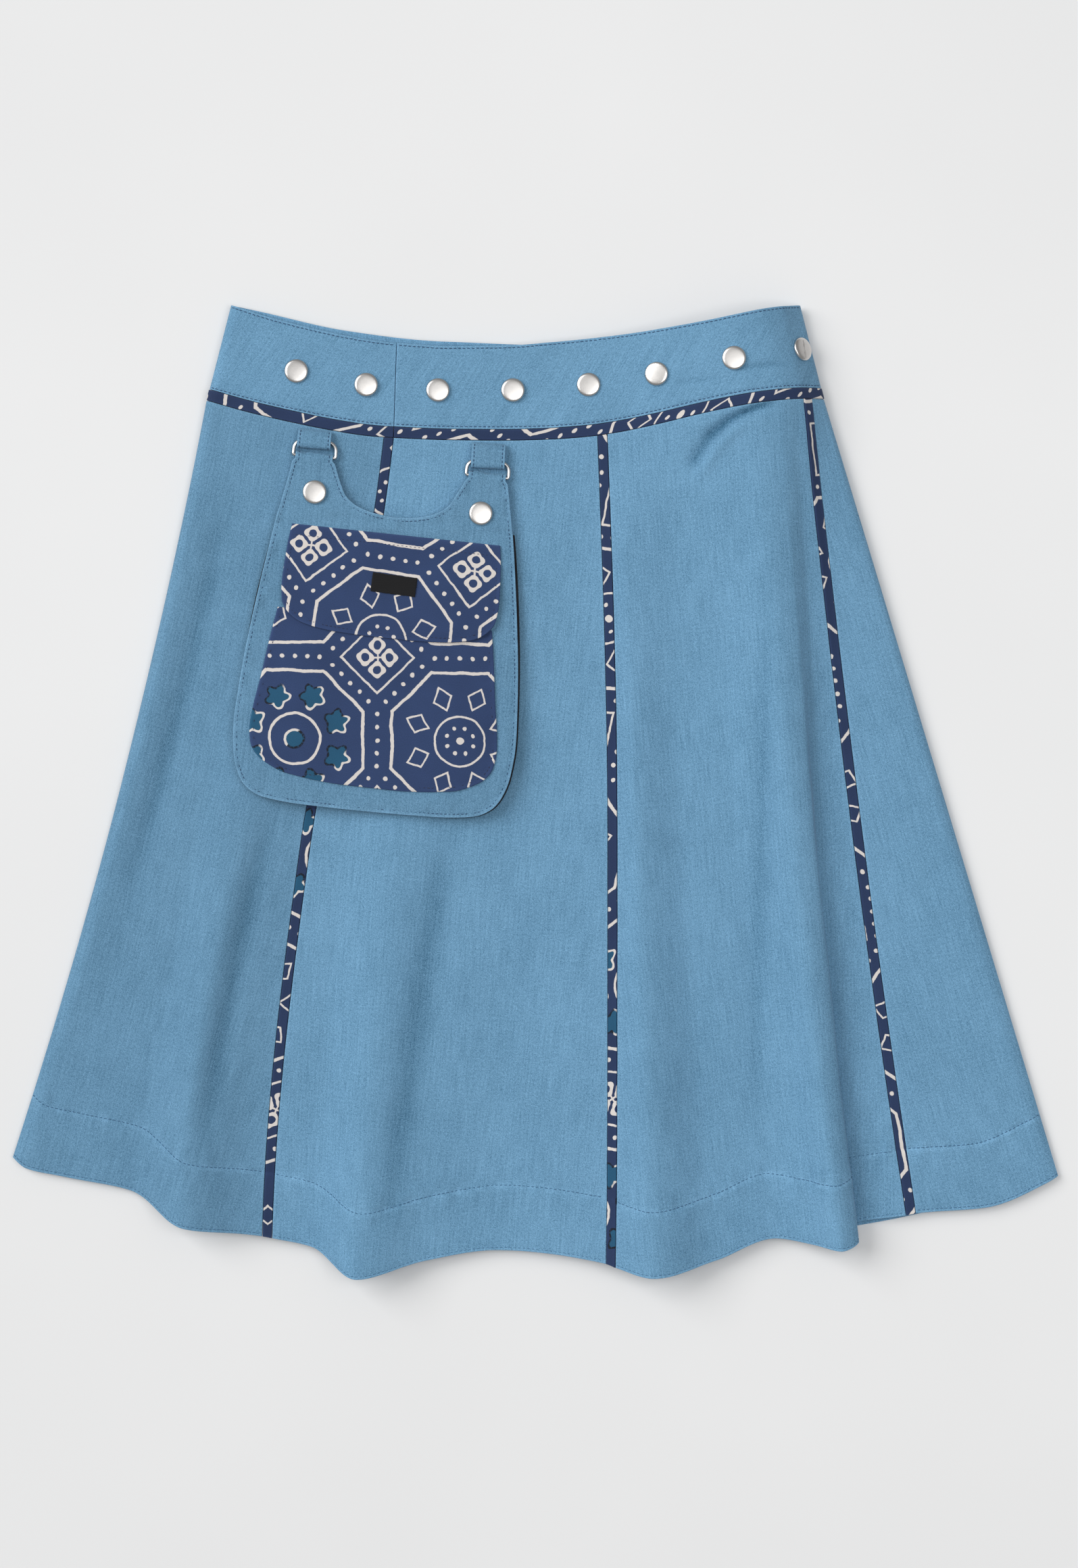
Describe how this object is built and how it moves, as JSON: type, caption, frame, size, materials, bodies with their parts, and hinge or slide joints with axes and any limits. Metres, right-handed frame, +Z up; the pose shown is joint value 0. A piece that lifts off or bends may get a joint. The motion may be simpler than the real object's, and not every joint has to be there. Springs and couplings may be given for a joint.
{
  "type": "wrap skirt",
  "caption": "Flared denim wrap skirt lying front up, with printed seam strips, a studded waistband and a hanging pouch.",
  "frame": {"origin": "on the surface that the skirt lies on, under the middle of its outline", "axes": "+X to the right of the skirt seen from above, +Y from hem to waistband, +Z up out of its front"},
  "size_m": [0.6567, 0.6088, 0.0302],
  "materials": {
    "denim": "light blue twill",
    "print": "indigo block print",
    "lining": "black plain weave",
    "steel": "polished nickel plate"
  },
  "bodies": {
    "root": {"band_left": "denim", "band_right": "denim", "gore_1_inner_flap": "denim", "gore_2_back_left": "denim", "gore_3_left": "denim", "gore_4_front_left": "denim", "gore_5_front_right": "denim", "gore_6_right": "denim", "gore_7_outer_flap": "denim", "loop_left": "denim", "loop_right": "denim", "pouch_backing": "lining", "pouch_face": "denim", "pouch_flap": "print", "pouch_label": "lining", "pouch_pocket": "print", "pouch_stud_left": "steel", "pouch_stud_right": "steel", "ring_left": "steel", "ring_right": "steel", "strip_1": "print", "strip_2": "print", "strip_3": "print", "strip_4": "print", "strip_5": "print", "strip_6": "print", "stud_1": "steel", "stud_10": "steel", "stud_11": "steel", "stud_12": "steel", "stud_2": "steel", "stud_3": "steel", "stud_4": "steel", "stud_5": "steel", "stud_6": "steel", "stud_7": "steel", "stud_8": "steel", "stud_9": "steel", "trim_left": "print", "trim_right": "print"}
  },
  "joints": []
}
